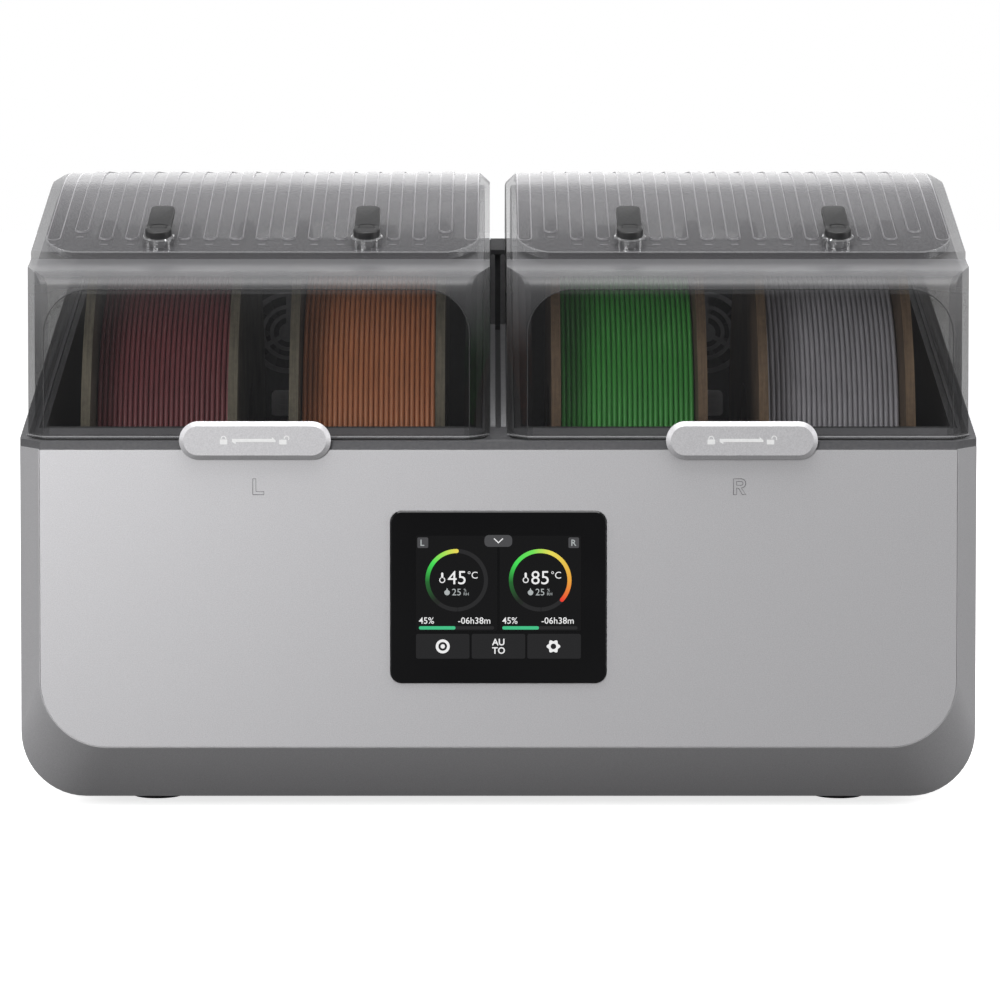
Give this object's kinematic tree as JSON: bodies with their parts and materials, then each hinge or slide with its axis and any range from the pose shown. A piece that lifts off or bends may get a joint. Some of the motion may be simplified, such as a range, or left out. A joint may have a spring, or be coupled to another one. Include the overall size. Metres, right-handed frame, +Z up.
{
  "type": "filament dryer box",
  "caption": "Wide filament dryer with two clear hinged lids, spools on rollers, touch display, fans, heaters, latches and capped filament outlets.",
  "frame": {"origin": "on the supporting surface under the middle of the overall box", "axes": "+X along the long front to the right as seen from the front, -Y out of the front panel, +Z up"},
  "size_m": [0.402, 0.293, 0.2691],
  "materials": {
    "silver_paint": "satin",
    "frame_plastic": "satin",
    "chamber_plastic": "matt",
    "clear_lid": "clear, lightly smoked",
    "smoked_visor": "smoked, semi clear",
    "clear_fitting": "clear",
    "seal_rubber": "matt",
    "plug_rubber": "satin",
    "latch_plastic": "satin",
    "spool_board": "matt",
    "filament_red": "satin",
    "filament_orange": "satin",
    "filament_green": "satin",
    "filament_grey": "satin",
    "roller_plastic": "satin",
    "steel": "ground",
    "screen_glass": "gloss, black",
    "module_metal": "satin",
    "board_green": "solder mask",
    "supply_case": "brushed",
    "heater_fins": "plain",
    "fan_plastic": "satin",
    "sensor_white": "satin",
    "inlet_plastic": "satin"
  },
  "bodies": {
    "housing": {"base_shell": "silver_paint", "front_panel": "silver_paint", "bottom_plate": "frame_plastic", "bottom_plate_screws": "steel", "rubber_feet": "seal_rubber", "upper_frame": "frame_plastic", "hinge_pins": "steel", "chamber_left": "chamber_plastic", "chamber_right": "chamber_plastic", "rim_seal_left": "seal_rubber", "rim_seal_right": "seal_rubber", "fan_grilles": "fan_plastic", "fan_frames": "fan_plastic", "heater_left": "heater_fins", "heater_right": "heater_fins", "humidity_sensors": "sensor_white", "roller_cradle_left": "chamber_plastic", "roller_cradle_right": "chamber_plastic", "roller_axles": "steel", "display_glass": "screen_glass", "display_module": "module_metal", "control_board": "board_green", "board_screws": "steel", "driver_board": "board_green", "power_supply": "supply_case", "back_panel": "frame_plastic", "back_panel_screws": "steel", "power_inlet": "inlet_plastic", "switch_housing": "inlet_plastic"},
    "lid_left": {"lid_shell_left": "clear_lid", "lid_visor_left": "smoked_visor", "outlet_fittings_left": "clear_fitting"},
    "latch_left": {"latch_left": "latch_plastic"},
    "fan_rotor_left": {"fan_rotor_left": "fan_plastic"},
    "lid_right": {"lid_shell_right": "clear_lid", "lid_visor_right": "smoked_visor", "outlet_fittings_right": "clear_fitting"},
    "latch_right": {"latch_right": "latch_plastic"},
    "fan_rotor_right": {"fan_rotor_right": "fan_plastic"},
    "outlet_plug_1": {"outlet_plug_1": "plug_rubber"},
    "spool_1": {"spool_1": "spool_board", "filament_1": "filament_red"},
    "roller_front_1": {"roller_front_1": "roller_plastic"},
    "roller_rear_1": {"roller_rear_1": "roller_plastic"},
    "outlet_plug_2": {"outlet_plug_2": "plug_rubber"},
    "spool_2": {"spool_2": "spool_board", "filament_2": "filament_orange"},
    "roller_front_2": {"roller_front_2": "roller_plastic"},
    "roller_rear_2": {"roller_rear_2": "roller_plastic"},
    "outlet_plug_3": {"outlet_plug_3": "plug_rubber"},
    "spool_3": {"spool_3": "spool_board", "filament_3": "filament_green"},
    "roller_front_3": {"roller_front_3": "roller_plastic"},
    "roller_rear_3": {"roller_rear_3": "roller_plastic"},
    "outlet_plug_4": {"outlet_plug_4": "plug_rubber"},
    "spool_4": {"spool_4": "spool_board", "filament_4": "filament_grey"},
    "roller_front_4": {"roller_front_4": "roller_plastic"},
    "roller_rear_4": {"roller_rear_4": "roller_plastic"},
    "switch_rocker": {"switch_rocker": "inlet_plastic"}
  },
  "joints": [
    {"name": "lid_left_hinge", "type": "hinge", "parent": "housing", "child": "lid_left", "pos_m": [-0.1008, 0.124, 0.24], "axis": [-1, 0, 0], "range_deg": [0, 100]},
    {"name": "latch_left_slide", "type": "slide", "parent": "housing", "child": "latch_left", "axis": [1, 0, 0], "range_m": [-0.007, 0]},
    {"name": "fan_left_spin", "type": "hinge", "parent": "housing", "child": "fan_rotor_left", "pos_m": [-0.1008, 0.1135, 0.193], "axis": [0, 1, 0], "continuous": true},
    {"name": "lid_right_hinge", "type": "hinge", "parent": "housing", "child": "lid_right", "pos_m": [0.1008, 0.124, 0.24], "axis": [-1, 0, 0], "range_deg": [0, 100]},
    {"name": "latch_right_slide", "type": "slide", "parent": "housing", "child": "latch_right", "axis": [1, 0, 0], "range_m": [-0.007, 0]},
    {"name": "fan_right_spin", "type": "hinge", "parent": "housing", "child": "fan_rotor_right", "pos_m": [0.1008, 0.1135, 0.193], "axis": [0, 1, 0], "continuous": true},
    {"name": "outlet_plug_1_pull", "type": "slide", "parent": "lid_left", "child": "outlet_plug_1", "axis": [0, -0.36, 0.933], "range_m": [0, 0.022]},
    {"name": "spool_1_spin", "type": "hinge", "parent": "housing", "child": "spool_1", "pos_m": [-0.1445, -0.0025, 0.147], "axis": [1, 0, 0], "continuous": true},
    {"name": "roller_front_1_spin", "type": "hinge", "parent": "housing", "child": "roller_front_1", "pos_m": [-0.1445, -0.06462, 0.05829], "axis": [1, 0, 0], "continuous": true},
    {"name": "roller_rear_1_spin", "type": "hinge", "parent": "housing", "child": "roller_rear_1", "pos_m": [-0.1445, 0.05962, 0.05829], "axis": [1, 0, 0], "continuous": true},
    {"name": "outlet_plug_2_pull", "type": "slide", "parent": "lid_left", "child": "outlet_plug_2", "axis": [0, -0.36, 0.933], "range_m": [0, 0.022]},
    {"name": "spool_2_spin", "type": "hinge", "parent": "housing", "child": "spool_2", "pos_m": [-0.056, -0.0025, 0.147], "axis": [1, 0, 0], "continuous": true},
    {"name": "roller_front_2_spin", "type": "hinge", "parent": "housing", "child": "roller_front_2", "pos_m": [-0.056, -0.06462, 0.05829], "axis": [1, 0, 0], "continuous": true},
    {"name": "roller_rear_2_spin", "type": "hinge", "parent": "housing", "child": "roller_rear_2", "pos_m": [-0.056, 0.05962, 0.05829], "axis": [1, 0, 0], "continuous": true},
    {"name": "outlet_plug_3_pull", "type": "slide", "parent": "lid_right", "child": "outlet_plug_3", "axis": [0, -0.36, 0.933], "range_m": [0, 0.022]},
    {"name": "spool_3_spin", "type": "hinge", "parent": "housing", "child": "spool_3", "pos_m": [0.056, -0.0025, 0.147], "axis": [1, 0, 0], "continuous": true},
    {"name": "roller_front_3_spin", "type": "hinge", "parent": "housing", "child": "roller_front_3", "pos_m": [0.056, -0.06462, 0.05829], "axis": [1, 0, 0], "continuous": true},
    {"name": "roller_rear_3_spin", "type": "hinge", "parent": "housing", "child": "roller_rear_3", "pos_m": [0.056, 0.05962, 0.05829], "axis": [1, 0, 0], "continuous": true},
    {"name": "outlet_plug_4_pull", "type": "slide", "parent": "lid_right", "child": "outlet_plug_4", "axis": [0, -0.36, 0.933], "range_m": [0, 0.022]},
    {"name": "spool_4_spin", "type": "hinge", "parent": "housing", "child": "spool_4", "pos_m": [0.1445, -0.0025, 0.147], "axis": [1, 0, 0], "continuous": true},
    {"name": "roller_front_4_spin", "type": "hinge", "parent": "housing", "child": "roller_front_4", "pos_m": [0.1445, -0.06462, 0.05829], "axis": [1, 0, 0], "continuous": true},
    {"name": "roller_rear_4_spin", "type": "hinge", "parent": "housing", "child": "roller_rear_4", "pos_m": [0.1445, 0.05962, 0.05829], "axis": [1, 0, 0], "continuous": true},
    {"name": "power_switch_rock", "type": "hinge", "parent": "housing", "child": "switch_rocker", "pos_m": [0.118, 0.1385, 0.042], "axis": [0, 0, 1], "range_deg": [0, 16]}
  ],
  "couplings": [
    {"joint": "roller_front_1_spin", "follows": "spool_1_spin", "ratio": -12.5},
    {"joint": "roller_rear_1_spin", "follows": "spool_1_spin", "ratio": -12.5},
    {"joint": "roller_front_2_spin", "follows": "spool_2_spin", "ratio": -12.5},
    {"joint": "roller_rear_2_spin", "follows": "spool_2_spin", "ratio": -12.5},
    {"joint": "roller_front_3_spin", "follows": "spool_3_spin", "ratio": -12.5},
    {"joint": "roller_rear_3_spin", "follows": "spool_3_spin", "ratio": -12.5},
    {"joint": "roller_front_4_spin", "follows": "spool_4_spin", "ratio": -12.5},
    {"joint": "roller_rear_4_spin", "follows": "spool_4_spin", "ratio": -12.5}
  ]
}
